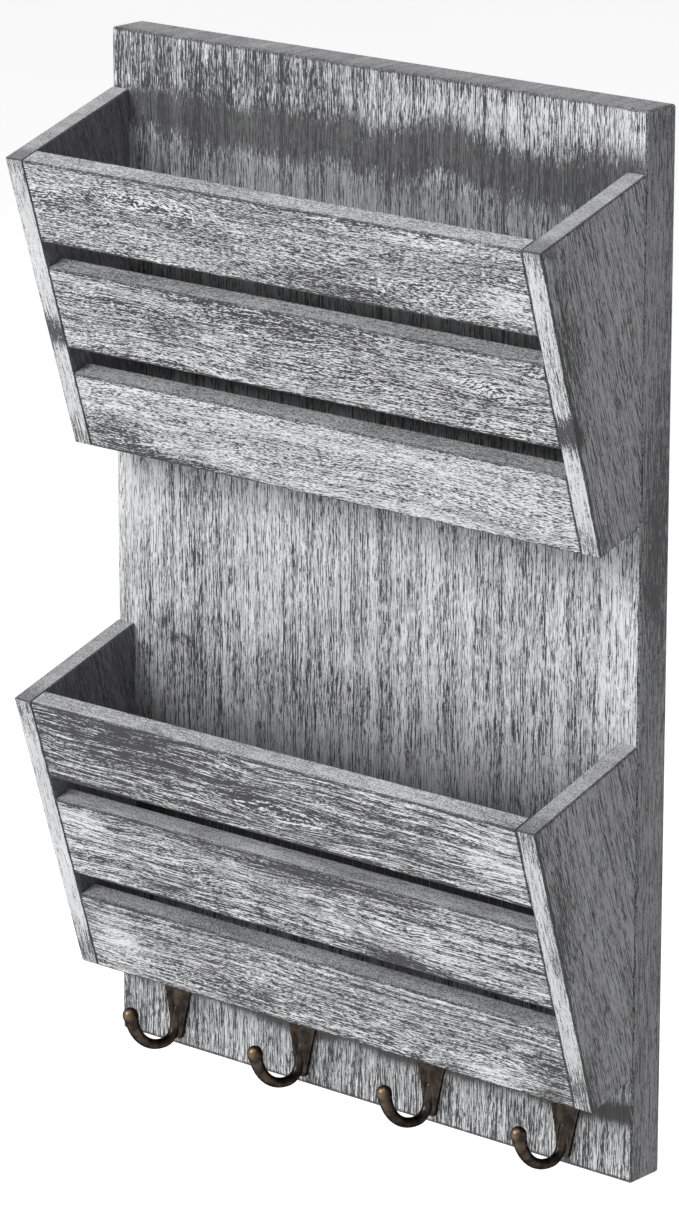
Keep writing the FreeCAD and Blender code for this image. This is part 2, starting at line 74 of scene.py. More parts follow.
# %% Camera
camera_data = bpy.data.cameras.new("camera")
camera = bpy.data.objects.new("camera", camera_data)
bpy.context.scene.collection.objects.link(camera)
bpy.context.scene.camera = camera
camera_data.sensor_width = 36
camera_data.lens = 164.5
camera_data.clip_start = 0.1
camera_data.clip_end = 50
camera.location = (1.4252, -1.7018, 0.6348)
aim = Vector((-0.0156, -0.0185, -0.0086))
camera.rotation_euler = (aim - camera.location).to_track_quat("-Z", "Y").to_euler()
print("camera to panel:", round((aim - camera.location).length, 2), "m")

# %% [markdown]
# ## Small helpers for colours and nodes
#
# Colours are written as hex values, the way a paint chart or a picture editor gives them, and one function
# turns them into the linear values that a shader works with. Another adds any node, with its settings and
# with numbers or other nodes' outputs in its sockets, and gives back one of the node's own outputs.
#
# Three groups of settings come back all the time. A smooth Map Range moves a value from one range to
# another, a Mix of colours turns one into the other, and a dot product tells how far a point lies along a
# direction, or how squarely a face looks that way.

# %% Colour and node helpers
SMOOTH = {"interpolation_type": "SMOOTHSTEP"}  # sockets: value, old range, and the new range if not 0 to 1
COLOURS = {"data_type": "RGBA", "out": 2}  # sockets: 0 is the amount, 6 and 7 are the two colours
DOT = {"operation": "DOT_PRODUCT", "out": "Value"}


def linear(hex_colour):
    """An sRGB hex colour as a linear RGBA tuple."""
    channels = [int(hex_colour[i : i + 2], 16) / 255 for i in (1, 3, 5)]
    return tuple(c / 12.92 if c <= 0.04045 else ((c + 0.055) / 1.055) ** 2.4 for c in channels) + (1.0,)


def add(tree, kind, sockets=(), out=0, **settings):
    """An output of a new node; each socket takes a value or another node's output."""
    node = tree.nodes.new("ShaderNode" + kind)
    for name, value in settings.items():
        setattr(node, name, value)
    for name, value in (sockets if isinstance(sockets, dict) else dict(enumerate(sockets))).items():
        if isinstance(value, bpy.types.NodeSocket):
            tree.links.new(value, node.inputs[name])
        else:
            node.inputs[name].default_value = value
    return node.outputs[out]


def new_material(name):
    """A material with a shader and its output, ready for more nodes."""
    material = bpy.data.materials.new(name)
    material.use_nodes = True
    tree = material.node_tree
    return material, tree, tree.nodes["Principled BSDF"]


def dress(node_name, material):
    """Give every face of a measured node one material."""
    for slot in nodes[node_name].material_slots:
        slot.material = material


print("white in linear light:", linear("#ffffff")[:3])

# %% [markdown]
# ## Weathered wood under a worn white wash
#
# The boards are stained dark grey, brushed with thin white paint, and rubbed back. The wash stays on the
# high wood and leaves the open pores dark, so the surface is a mass of short dark dashes that run with the
# grain. They are about half a millimetre wide and several millimetres long, and they crowd together in
# bands, where a growth ring is cut, and in patches, where the brush left less paint.
#
# A photograph of wood would be the quick way, but it stretches and repeats. Here each board's own
# directions lead: three dot products turn a point into millimetres along the grain, across the board and
# through it. Noise that is squeezed across the grain gives the dashes, and wider noise gives bands and
# patches. Two more shapes place what the noise can't: a spot for a knot or a smoky mark, and a stripe for
# the dark line along a joint.

# %% Directions
LEAN = math.radians(17.2)
UP = Vector((0, 0, 1))
SIDEWAYS = Vector((1, 0, 0))
OUT_OF_THE_WALL = Vector((0, -1, 0))
UP_THE_LEAN = Vector((0, -math.sin(LEAN), math.cos(LEAN)))
OUT_OF_THE_BIN = Vector((0, -math.cos(LEAN), -math.sin(LEAN)))
print("front boards face", [round(v, 3) for v in OUT_OF_THE_BIN])

# %% Noise, spots and stripes in millimetres
FINER_LAYERS = 0.55


def grain_noise(tree, axes, sizes, detail=2.0):
    """Noise whose cells have the given sizes along, across and through the board."""
    parts = [add(tree, "Math", pair, operation="DIVIDE") for pair in zip(axes, sizes)]
    sockets = {"Vector": add(tree, "CombineXYZ", parts), "Scale": 1.0}
    return add(tree, "TexNoise", sockets | {"Detail": detail, "Roughness": FINER_LAYERS}, out="Fac")


def spot(tree, point, centre, radii):
    """1 at a place on the object, fading to 0 at the given radii."""
    offset = add(tree, "VectorMath", (point, centre), operation="SUBTRACT")
    scaled = add(tree, "VectorMath", (offset, radii), operation="DIVIDE")
    length = add(tree, "VectorMath", (scaled,), operation="LENGTH", out="Value")
    return add(tree, "MapRange", (length, 0.0, 1.0, 1.0, 0.0), **SMOOTH)


def stripe(tree, value, middle, reach):
    """1 where a distance has one value, fading to 0 on both sides."""
    offset = add(tree, "Math", (value, middle), operation="SUBTRACT")
    away = add(tree, "Math", (offset,), operation="ABSOLUTE")
    return add(tree, "MapRange", (away, 0.0, reach, 1.0, 0.0), **SMOOTH)


print("each finer layer of a noise counts", FINER_LAYERS, "of the one before")

# %% [markdown]
# ### Which side of a board is which
#
# A board took stain and wash differently on its face, its back, its long edges and its sawn ends. The
# object's own normals tell them apart, so one material dresses the whole board: a face that looks along
# the grain is an end, one that looks across it is an edge. Between two flat sides the normal looks along
# neither, and there the corner is rubbed down to dark wood.

# %% Masks for the sides of a board
TURNING, SQUARE = 0.8, 0.9  # how far a side has to look one way before it counts
BACK_TURNING, BACK_SQUARE = -0.6, -0.8
FLAT, ROUNDED = 0.97, 0.88


def board_masks(tree, point, normal, directions, mirrored):
    """Masks for a board's face, back, edges and ends, for all sawn sides, and for its worn corners."""
    looks = [add(tree, "VectorMath", (normal, direction), **DOT) for direction in directions]
    facing = looks[2]
    if mirrored:
        half = add(tree, "VectorMath", (point, directions[2]), **DOT)
        half = add(tree, "Math", (half,), operation="SIGN")
        facing = add(tree, "Math", (facing, half), operation="MULTIPLY")
    end, edge, flat = (add(tree, "Math", (look,), operation="ABSOLUTE") for look in looks)
    squarest = add(tree, "Math", (end, edge), operation="MAXIMUM")
    squarest = add(tree, "Math", (squarest, flat), operation="MAXIMUM")
    masks = {
        "face": add(tree, "MapRange", (facing, TURNING, SQUARE), **SMOOTH),
        "back": add(tree, "MapRange", (facing, BACK_TURNING, BACK_SQUARE), **SMOOTH),
        "edge": add(tree, "MapRange", (edge, TURNING, SQUARE), **SMOOTH),
        "end": add(tree, "MapRange", (end, TURNING, SQUARE), **SMOOTH),
        "corner": add(tree, "MapRange", (squarest, FLAT, ROUNDED), **SMOOTH),
    }
    masks["sawn"] = add(tree, "Math", (masks["edge"], masks["end"]), operation="MAXIMUM")
    return masks


print("a side counts within", round(math.degrees(math.acos(SQUARE))), "degrees of its direction")

# %% [markdown]
# ### The figure
#
# A slow noise added to the across direction makes the lines wander, as real figure does. Where a knot
# sits, the distance from its heart slowly takes the place of the across direction, so the dashes bend
# round it.
#
# Real pores are 0.2 to 0.3 mm wide. A pixel of the picture covers 0.4 mm, so streaks and dashes are drawn
# a little coarser, at 0.3 to 0.45 mm, and the grit of a sawn side at 0.55 mm instead of 0.3 mm.

# %% Noises of the figure
SWAY = (75, 22, 22)
PATCHES = (40, 15, 15)
GRIT = (0.9, 0.55, 0.55)


def wood_figure(tree, point, axes, across_way, figure, knots):
    """Streaks and dashes of open pores, growth bands, patches of thin wash, and grit."""
    along, across, through = axes
    sway = grain_noise(tree, axes, SWAY, 1.0)
    rows = add(tree, "Math", (sway, 2 * figure["wander"], across), operation="MULTIPLY_ADD")
    depth = add(tree, "Math", (sway, figure["wander"], through), operation="MULTIPLY_ADD")
    for centre, radii, pull in knots:
        near = add(tree, "Math", (spot(tree, point, centre, radii), pull), operation="MULTIPLY")
        to_heart = add(tree, "Math", (Vector(centre).dot(across_way), across), operation="SUBTRACT")
        rows = add(tree, "Math", (to_heart, near, rows), operation="MULTIPLY_ADD")
    bent = (along, rows, depth)
    noises = {kind: grain_noise(tree, bent, sizes) for kind, sizes in figure["noises"].items()}
    noises["patches"] = grain_noise(tree, axes, PATCHES, 3.0)
    noises["grit"] = grain_noise(tree, axes, GRIT, 1.0)
    return noises


print("thin patches are about", PATCHES[0], "by", PATCHES[1], "mm, and grit", GRIT[1], "mm")

# %% [markdown]
# ### Wash and stain
#
# Each side of a board has its own colours of wash and stain, and its own cover. A veil is a band across
# the panel where both change. The panel's veils are a smoky stain, a darker band under the lower bin, and
# shade painted in as dark bands inside the bins. A veil's border drifts slowly and frays along the streaks,
# unless it is hidden and can stay plain.

# %% Colours of wash and stain
NOISE_MIDDLE = 0.5
VEIL_DRIFT = (90, 60, 60)
DRIFT_REACH = 45.0
FRAYING = 3.5
SOFT_BORDER = 0.35


def colours_by_side(tree, zones, masks):
    """The wash, the stain and the cover, each turned from the face's to those of the other sides."""
    wash, stain, cover = zones["face"]
    wash, stain = linear(wash), linear(stain)
    for zone in ("back", "edge", "end"):
        zone_wash, zone_stain, zone_cover = zones[zone]
        wash = add(tree, "Mix", {0: masks[zone], 6: wash, 7: linear(zone_wash)}, **COLOURS)
        stain = add(tree, "Mix", {0: masks[zone], 6: stain, 7: linear(zone_stain)}, **COLOURS)
        change = add(tree, "Math", (zone_cover, cover), operation="SUBTRACT")
        cover = add(tree, "Math", (change, masks[zone], cover), operation="MULTIPLY_ADD")
    return wash, stain, cover


def veiled(tree, point, axes, streaks, face_mask, wash, stain, stain_and_shade_veils):
    """The wash and the stain of the face, changed in bands of stain and of painted shade."""
    drift = add(tree, "Math", (grain_noise(tree, axes, VEIL_DRIFT), NOISE_MIDDLE), operation="SUBTRACT")
    fray = add(tree, "Math", (streaks, NOISE_MIDDLE), operation="SUBTRACT")
    for direction, middle, reach, wash_colour, stain_colour, ragged in stain_and_shade_veils:
        place = add(tree, "VectorMath", (point, direction), **DOT)
        place = add(tree, "Math", (drift, DRIFT_REACH * ragged, place), operation="MULTIPLY_ADD")
        veil = stripe(tree, place, middle, reach)
        veil = add(tree, "Math", (fray, FRAYING * ragged, veil), operation="MULTIPLY_ADD")
        border = SOFT_BORDER * ragged
        veil = add(tree, "MapRange", (veil, border, 1 - border), **SMOOTH)
        veil = add(tree, "Math", (veil, face_mask), operation="MULTIPLY")
        wash = add(tree, "Mix", {0: veil, 6: wash, 7: linear(wash_colour)}, **COLOURS)
        stain = add(tree, "Mix", {0: veil, 6: stain, 7: linear(stain_colour)}, **COLOURS)
    return wash, stain


print("a ragged veil's border drifts by up to", DRIFT_REACH * NOISE_MIDDLE, "mm")

# %% [markdown]
# ### How much wash is left
#
# One number says it: the cover, raised and lowered by the noises, by smoky spots and by dark lines along
# the joints. Where it is high the wash is whole, where it is low the stain is bare, and the step between
# them is short, so that the dashes have firm borders. On sawn sides the saw left the wood rough, and the
# grit shows more than the streaks do.

# %% How much wash is left
SHARE_ON_SAWN_SIDES = {"grit": 1.6, "patches": 1.0}
FIRM_STEP = 0.17


def wash_left(tree, point, masks, noises, cover, figure, smoke, smoke_on, lines):
    """1 where the wash is whole, 0 where the stain is bare."""
    level = cover
    for kind, weight in figure["weights"].items():
        share = SHARE_ON_SAWN_SIDES.get(kind, figure["sawn"])
        shift = add(tree, "Math", (noises[kind], NOISE_MIDDLE), operation="SUBTRACT")
        share = add(tree, "MapRange", (masks["sawn"], 0, 1, 1, share), **SMOOTH)
        shift = add(tree, "Math", (shift, share), operation="MULTIPLY")
        level = add(tree, "Math", (shift, weight, level), operation="MULTIPLY_ADD")
    for centre, radii, strength in smoke:
        mark = spot(tree, point, centre, radii)
        if smoke_on == "face":
            mark = add(tree, "Math", (mark, masks["face"]), operation="MULTIPLY")
        level = add(tree, "Math", (mark, -strength, level), operation="MULTIPLY_ADD")
    for sides, direction, middle, reach, strength in lines:
        mark = stripe(tree, add(tree, "VectorMath", (point, direction), **DOT), middle, reach)
        mark = add(tree, "Math", (mark, masks[sides]), operation="MULTIPLY")
        level = add(tree, "Math", (mark, -strength, level), operation="MULTIPLY_ADD")
    return add(tree, "MapRange", (level, -FIRM_STEP, FIRM_STEP), **SMOOTH)


print("wash turns to stain over", 2 * FIRM_STEP, "of the level")

# %% [markdown]
# ### The whole material
#
# Paulownia is a light, soft wood with long open pores. Stained, painted thinly and rubbed back, it gives
# the eye three things: chalky white wood that hardly shines, dark pores that lie a tenth of a millimetre
# deeper and shine a little more, and corners worn to nearly black.

# %% The wood material
STAIN_ROUGHNESS, WASH_ROUGHNESS = 0.62, 0.85
PORE_DEPTH = 0.12
DRY_PAINT_IOR = 1.45
WORN_CORNER = "#222223"
THIN_PATCHES = (0.3, 0.7, 0.85, 1.0)  # from and to in the noise, and the body of the paint there
CORNER_WEAR = (0.35, 0.55, 0.95, 0.6)  # from and to in the grit, and how bare a corner is there


def washed_wood(
    name, grain, face, zones, figure, knots=(), smoke=(), smoke_on="all", lines=(), stain_and_shade_veils=(), mirrored=False
):
    """Stained wood under a white wash.

    A zone holds the colour of the wash, the colour of the stain, and how far the wash covers, where 0 is
    half. The figure holds the sizes of its noises, their weights, the share of the streaks that a sawn
    side shows, and how far the lines wander. Knots and smoke are spots: centre, radii, strength. A line
    has the sides it is on, a direction, a place along it, a reach and a strength. A veil has a direction,
    a place, a reach, a wash, a stain, and how ragged its border is. A mirrored board's face looks away
    from the middle of the object on both halves.
    """
    material, tree, shader = new_material(name)
    place = add(tree, "TexCoord", out="Object")
    point = add(tree, "VectorMath", {0: place, "Scale": 1 / MM}, operation="SCALE")
    directions = (grain, grain.cross(face), face)
    axes = [add(tree, "VectorMath", (point, direction), **DOT) for direction in directions]

    masks = board_masks(tree, point, place.node.outputs["Normal"], directions, mirrored)
    noises = wood_figure(tree, point, axes, directions[1], figure, knots)
    wash, stain, cover = colours_by_side(tree, zones, masks)
    wash, stain = veiled(tree, point, axes, noises["streaks"], masks["face"], wash, stain, stain_and_shade_veils)
    left = wash_left(tree, point, masks, noises, cover, figure, smoke, smoke_on, lines)

    # thin wash lets a little stain through in patches, and the corners are worn unevenly
    body = add(tree, "MapRange", (noises["patches"], *THIN_PATCHES), **SMOOTH)
    paint = add(tree, "Mix", {0: body, 6: stain, 7: wash}, **COLOURS)
    colour = add(tree, "Mix", {0: left, 6: stain, 7: paint}, **COLOURS)
    bared = add(tree, "MapRange", (noises["grit"], *CORNER_WEAR), **SMOOTH)
    worn = add(tree, "Math", (masks["corner"], bared), operation="MULTIPLY")
    colour = add(tree, "Mix", {0: worn, 6: colour, 7: linear(WORN_CORNER)}, **COLOURS)
    roughness = add(tree, "MapRange", (left, 0.0, 1.0, STAIN_ROUGHNESS, WASH_ROUGHNESS), **SMOOTH)
    relief = add(tree, "Bump", {"Strength": 0.5, "Distance": PORE_DEPTH * MM, "Height": left})
    tree.links.new(colour, shader.inputs["Base Color"])
    tree.links.new(roughness, shader.inputs["Roughness"])
    tree.links.new(relief, shader.inputs["Normal"])
    shader.inputs["IOR"].default_value = DRY_PAINT_IOR
    print(name, "uses", len(tree.nodes), "nodes")
    return material


# %% [markdown]
# ### The slats
#
# Each slat is a board of its own, cut from another place of the plank, so each has its own edges, weights,
# cover, knots and smoky marks. All six share the colours, and the sizes of their noises. Their faces are
# almost white, their backs were left grey, and thin dark lines run along their edges and along the joints
# with the side boards. Paulownia that was cut along its rings shows wide bands and bent lines, which is why
# the middle slats have more weight on streaks and bands.

# %% Places on the boards
PANEL_HALF_WIDTH = 140.0
PANEL_HALF_HEIGHT = 220.97
PANEL_FRONT = -18.5
BOARD = 9.5  # the thickness of the bins' boards
BIN_HALF_INSIDE = PANEL_HALF_WIDTH - BOARD
BIN_FOOT_REACH = 25.5
BIN_FRONT_LENGTH = 134
BIN_FRONT_HEIGHTS = {"upper": 55.70, "lower": -175.27}


def front_foot(bin_name):
    """The foot of a bin's leaning front, on its outer face."""
    height = BIN_FRONT_HEIGHTS[bin_name] - BIN_FOOT_REACH * math.tan(LEAN)
    return Vector((0, PANEL_FRONT - BIN_FOOT_REACH, height))


print("feet of the bins' fronts:", [[round(v, 1) for v in front_foot(name)] for name in BIN_FRONT_HEIGHTS])

# %% What is different on each slat
# edges up the lean; weights of streaks, dashes and bands; cover; then spots: centre, radii, strength,
# where a strength below 0 leaves more wash
SLATS = {
    "upper_bin_bottom_slat": {
        "edges": (0, 35),
        "weights": (1.3, 2.5, 0.6),
        "cover": 0.08,
        "knots": [((-108.0, -46.4, 56.0), (30, 15, 15), 0.75)],
        "smoke": [((-114.0, -47.0, 57.0), (32, 15, 15), 0.25), ((-90.0, -44.3, 48.8), (70, 8, 7), 0.45)],
    },
    "upper_bin_middle_slat": {
        "edges": (47, 84.5),
        "weights": (2.5, 3.5, 1.0),
        "cover": -0.07,
        "knots": [((100.9, -64.2, 113.0), (24, 12, 12), 0.75), ((126.0, -67.0, 124.0), (12, 8, 8), 0.7)],
        "smoke": [((-5.0, -68.0, 126.0), (85, 13, 13), 0.35), ((-75.0, -64.0, 113.0), (40, 10, 12), 0.2)],
    },
    "upper_bin_top_slat": {
        "edges": (96.5, BIN_FRONT_LENGTH),
        "weights": (1.3, 2.5, 0.5),
        "cover": -0.05,
        "knots": [((-70.0, -82.0, 165.0), (50, 12, 12), 0.4)],
        "smoke": [((30.0, -75.0, 144.0), (80, 7, 7), 0.25), ((118.0, -77.0, 152.0), (22, 9, 10), -0.3)],
    },
    "lower_bin_bottom_slat": {
        "edges": (0, 37),
        "weights": (1.7, 2.0, 0.9),
        "cover": -0.07,
        "knots": [],
        "smoke": [
            ((-112.0, -49.0, -166.0), (24, 12, 22), -0.25),
            ((-50.0, -46.0, -174.0), (55, 9, 12), 0.2),
            ((122.0, -48.0, -167.0), (18, 10, 16), 0.25),
            ((90.0, -45.0, -180.0), (26, 8, 9), -0.3),
        ],
    },
    "lower_bin_middle_slat": {
        "edges": (48, 85.5),
        "weights": (2.0, 1.8, 1.0),
        "cover": -0.06,
        "knots": [((60.0, -62.0, -118.0), (50, 12, 12), 0.4)],
        "smoke": [
            ((5.0, -68.0, -104.5), (90, 8, 9), 0.35),
            ((50.0, -59.5, -134.0), (45, 8, 9), 0.35),
            ((-70.0, -59.5, -134.0), (45, 8, 9), 0.2),
            ((-118.0, -67.0, -110.0), (22, 9, 14), -0.2),
        ],
    },
    "lower_bin_top_slat": {
        "edges": (96.5, BIN_FRONT_LENGTH),
        "weights": (2.0, 1.7, 1.3),
        "cover": -0.13,
        "knots": [((8.0, -77.0, -79.0), (45, 13, 13), 0.75)],
        "smoke": [
            ((-80.0, -81.5, -64.0), (75, 10, 16), 0.3),
            ((-15.0, -79.0, -73.0), (32, 9, 10), 0.25),
            ((118.0, -80.0, -72.0), (36, 12, 26), -0.3),
        ],
    },
}
print("slats:", len(SLATS))

# %% Slat wood
# whitewashed paulownia, brushed on and rubbed back: white dashed with dark pores, almost without shine
SLAT_NOISES = {"streaks": (13.0, 0.42, 0.42), "dashes": (2.2, 0.28, 0.28), "bands": (170, 1.8, 9.0)}


def slat_wood(slat, edges, weights, cover, knots, smoke):
    """One slat's wood, with dark lines along the slat's own edges and joints."""
    foot = front_foot(slat[:5])
    front = OUT_OF_THE_BIN.dot(foot)
    lines = [("face", SIDEWAYS, side * BIN_HALF_INSIDE, 1.0, 0.5) for side in (-1, 1)]
    lines += [("face", UP_THE_LEAN, UP_THE_LEAN.dot(foot) + edge, 1.5, 0.55) for edge in edges]
    lines += [("sawn", OUT_OF_THE_BIN, front - depth, 1.0, 0.4) for depth in (0, BOARD)]
    zones = {
        "face": ("#e1e2e4", "#2c2c2e", cover),
        "back": ("#747578", "#3c3c3f", -0.1),
        "edge": ("#c2c3c4", "#5a5b5d", 0.0),
        "end": ("#8c8c8f", "#444446", 0.0),
    }
    weights = dict(zip(("streaks", "dashes", "bands"), weights)) | {"patches": 0.12, "grit": 0.5}
    figure = {"noises": SLAT_NOISES, "weights": weights, "sawn": 0.25, "wander": 5.0}
    name = "whitewashed paulownia, rubbed back, " + slat
    return washed_wood(name, SIDEWAYS, OUT_OF_THE_BIN, zones, figure, knots, smoke, "face", lines)


slat_woods = {slat: slat_wood(slat, **recipe) for slat, recipe in SLATS.items()}

# %% [markdown]
# ### The panel
#
# The panel is one board with its grain upright and finer, straighter lines. Its front is as white as the
# slats, but a smoky band crosses it behind the upper bin's mouth. Inside the bins shade is painted into its
# colour: greyer at the upper bin's mouth, nearly black deeper in, and dark in the lower bin, darkest halfway
# down. A darker band runs just under the lower bin. The veils draw these. The spots dull the corners, and
# darken the middle of the right edge.

# %% Panel wood
# whitewashed paulownia, brushed on and rubbed back, with its grain upright: long thin streaks in white
panel_wood = washed_wood(
    "whitewashed paulownia panel, brushed and rubbed back",
    UP,
    OUT_OF_THE_WALL,
    zones={
        "face": ("#e0e1e3", "#363638", 0.07),
        "back": ("#747578", "#37373a", -0.05),
        "edge": ("#949496", "#3a3a3c", 0.06),
        "end": ("#a2a2a5", "#464649", 0.0),
    },
    figure={
        "noises": {"streaks": (16.0, 0.42, 0.42), "dashes": (4.0, 0.32, 0.32), "bands": (600, 3.2, 30.0)},
        "weights": {"streaks": 2.5, "dashes": 2.1, "bands": 0.95, "patches": 0.15, "grit": 0.5},
        "sawn": 1.0,
        "wander": 1.5,
    },
    smoke=[
        ((-114.0, -18.5, -31.0), (7, 6, 5), 0.35),
        ((-104.0, -18.5, -37.0), (14, 6, 5), 0.25),
        ((140.0, -9.0, 45.0), (10, 14, 95), 0.5),
        ((140.0, -9.0, 216.0), (10, 14, 14), 0.3),
        ((-140.0, -18.5, -215.0), (26, 9, 40), 0.3),
        ((0.0, -18.5, -214.0), (400, 9, 22), 0.15),
        ((-62.0, -18.5, 208.0), (95, 9, 19), 0.35),
        ((-140.0, -18.5, 212.0), (50, 9, 30), 0.3),
        ((20.0, -18.5, 222.0), (130, 9, 14), 0.2),
        ((124.0, -18.5, 5.0), (36, 9, 85), -0.15),
        ((-126.0, -18.5, 20.0), (30, 9, 38), -0.2),
        ((-50.0, -18.5, -44.0), (110, 9, 26), 0.15),
    ],
    lines=[
        ("face", SIDEWAYS, -PANEL_HALF_WIDTH, 1.0, 0.5),
        ("face", SIDEWAYS, PANEL_HALF_WIDTH, 1.0, 0.5),
        ("face", UP, PANEL_HALF_HEIGHT, 1.5, 0.5),
        ("face", UP, -PANEL_HALF_HEIGHT, 2.0, 0.9),
        ("face", UP, 188.0, 20.0, 0.15),
        ("sawn", OUT_OF_THE_WALL, -PANEL_FRONT, 1.2, 0.5),
        ("sawn", OUT_OF_THE_WALL, 0.0, 1.2, 0.3),
    ],
    stain_and_shade_veils=[
        # greyer just inside the upper bin's mouth: painted shade
        (UP, 165.0, 26.0, "#a0a1a6", "#3a3a3c", 0.3),
        # nearly black deeper inside the upper bin: painted shade
        (UP, 100.0, 62.0, "#1d1d20", "#151517", 0.0),
        # dark inside the lower bin, darkest halfway down it: painted shade
        (UP, -112.0, 104.0, "#202024", "#161618", 0.0),
        # the smoky band behind the upper bin's mouth
        (UP, 189.0, 19.0, "#6a6a6b", "#3a3a3c", 1.0),
        # a darker band just under the lower bin
        (UP, -192.0, 9.0, "#5c5b5b", "#3a3a3c", 0.4),
    ],
)

# %% [markdown]
# ### The side boards
#
# The outer faces of the side boards were wiped thin, so grey stain shows through most of the wash, while
# their narrow front edges stayed white. Their grain follows the lean. One material dresses all four, and
# it counts as face whichever side looks away from the middle. Its smoky marks run right across both bins,
# so they have a very long radius sideways.

# %% Side wood
# grey stained paulownia, wiped thin: middle grey with dark pores, and pale narrow edges
side_faces = (-PANEL_HALF_WIDTH, -BIN_HALF_INSIDE, BIN_HALF_INSIDE, PANEL_HALF_WIDTH)
side_lines = [("sawn", SIDEWAYS, x, 0.9, 0.8) for x in side_faces]
for bin_name in BIN_FRONT_HEIGHTS:
    foot = front_foot(bin_name)
    side_lines.append(("face", OUT_OF_THE_BIN, OUT_OF_THE_BIN.dot(foot), 1.3, 0.9))
    for height in (0, BIN_FRONT_LENGTH):
        side_lines.append(("face", UP_THE_LEAN, UP_THE_LEAN.dot(foot) + height, 1.1, 0.8))
side_wood = washed_wood(
    "grey stained paulownia sides, wiped thin",
    UP_THE_LEAN,
    SIDEWAYS,
    zones={
        "face": ("#a4a4a6", "#28282a", 0.09),
        "back": ("#7c7c80", "#4c4c50", 0.0),
        "edge": ("#d6d7d8", "#3c3c3e", 0.2),
        "end": ("#b8b8b9", "#58585a", 0.03),
    },
    figure={
        "noises": {"streaks": (12.0, 0.45, 0.45), "dashes": (3.6, 0.3, 0.3), "bands": (150, 4.0, 12.0)},
        "weights": {"streaks": 1.8, "dashes": 1.6, "bands": 0.4, "patches": 0.12, "grit": 0.4},
        "sawn": 0.7,
        "wander": 2.5,
    },
    smoke=[
        ((0.0, -62.0, 99.0), (400, 12, 12), 0.75),
        ((0.0, -83.0, 178.0), (400, 16, 22), 0.35),
        ((0.0, -48.0, 50.0), (400, 12, 18), 0.3),
        ((0.0, -83.0, -53.0), (400, 16, 30), 0.35),
        ((0.0, -47.0, -178.0), (400, 12, 30), 0.4),
        ((0.0, -62.0, -140.0), (400, 6, 6), 0.3),
        ((140.0, -66.0, 130.0), (12, 17, 70), 0.2),
        ((140.0, -66.0, -100.0), (12, 17, 70), 0.2),
    ],
    lines=side_lines,
    mirrored=True,
)

# %% Dress the boards
for name in nodes:
    if name == "back_panel":
        dress(name, panel_wood)
    elif name.endswith("_side"):
        dress(name, side_wood)
    elif name.endswith("_floor"):
        dress(name, slat_woods[name.replace("_floor", "_bottom_slat")])
    elif name in slat_woods:
        dress(name, slat_woods[name])
print("wooden nodes dressed:", sum(n.endswith(("_side", "_slat", "_floor", "_panel")) for n in nodes))

# %% [markdown]
# ## Zinc plated brads
#
# The brads are thin wire with square corners. They are sunk and filled, so almost nothing of them shows.
# The plating is a dull metal: zinc crystals give it faint cloudy spangles about a millimetre across, some
# a little paler and rougher than others.

# %% Brads
# zinc plated steel wire, left dull: pale grey metal with soft, broken reflections
SPANGLE = 1.0
zinc, tree, shader = new_material("zinc plated steel wire, dull")
place = add(tree, "TexCoord", out="Object")
crystal = add(tree, "TexVoronoi", {"Vector": place, "Scale": 1 / (SPANGLE * MM)}, out="Distance")
grey = add(tree, "Mix", {0: crystal, 6: linear("#a3a6a8"), 7: linear("#c3c5c6")}, **COLOURS)
tree.links.new(grey, shader.inputs["Base Color"])
roughness = add(tree, "MapRange", (crystal, 0, 1, 0.35, 0.55), **SMOOTH)
tree.links.new(roughness, shader.inputs["Roughness"])
shader.inputs["Metallic"].default_value = 1.0
for name in nodes:
    if name.endswith("_brads"):
        dress(name, zinc)
print("zinc plated nodes:", sum(n.endswith("_brads") for n in nodes))

# %% [markdown]
# ## The cast hooks
#
# Each hook is one small casting: a leaf-shaped plate with a ridge down its middle, and a round prong that
# grows out of its foot, sweeps down and out, and swells to a smooth knob. The measured model has the right
# sizes, but its prong is made of straight cones. Here the leaf starts as a small grid that is pulled into
# shape, and the prong as one circle that is extruded from station to station along its bends. A fine
# voxel remesh then melts the two together, and a little smoothing leaves the soft inner corner that a
# mould gives.

# %% The hook's leaf
HOOK_FOOT = Vector((0, PANEL_FRONT, -PANEL_HALF_HEIGHT + 4.0))
LEAF_HEIGHT = 39.0
LEAF_SHOULDER = 28.0
LEAF_WIDTH = 17.0
LEAF_TIP = 4.8
LEAF_EDGE = 1.2
LEAF_RIDGE = 3.0
LEAF_ROWS = 26
BLUNTNESS = 0.0004  # keeps the top row of the crown from closing to a point


def leaf_half_width(height):
    """Half the leaf's width at a height: straight flanks under a round crown."""
    if height <= LEAF_SHOULDER:
        return (LEAF_TIP + (LEAF_WIDTH - LEAF_TIP) * height / LEAF_SHOULDER) / 2
    rise = (height - LEAF_SHOULDER) / (LEAF_HEIGHT - LEAF_SHOULDER)
    return LEAF_WIDTH / 2 * math.sqrt(max(1 - rise**2, BLUNTNESS))


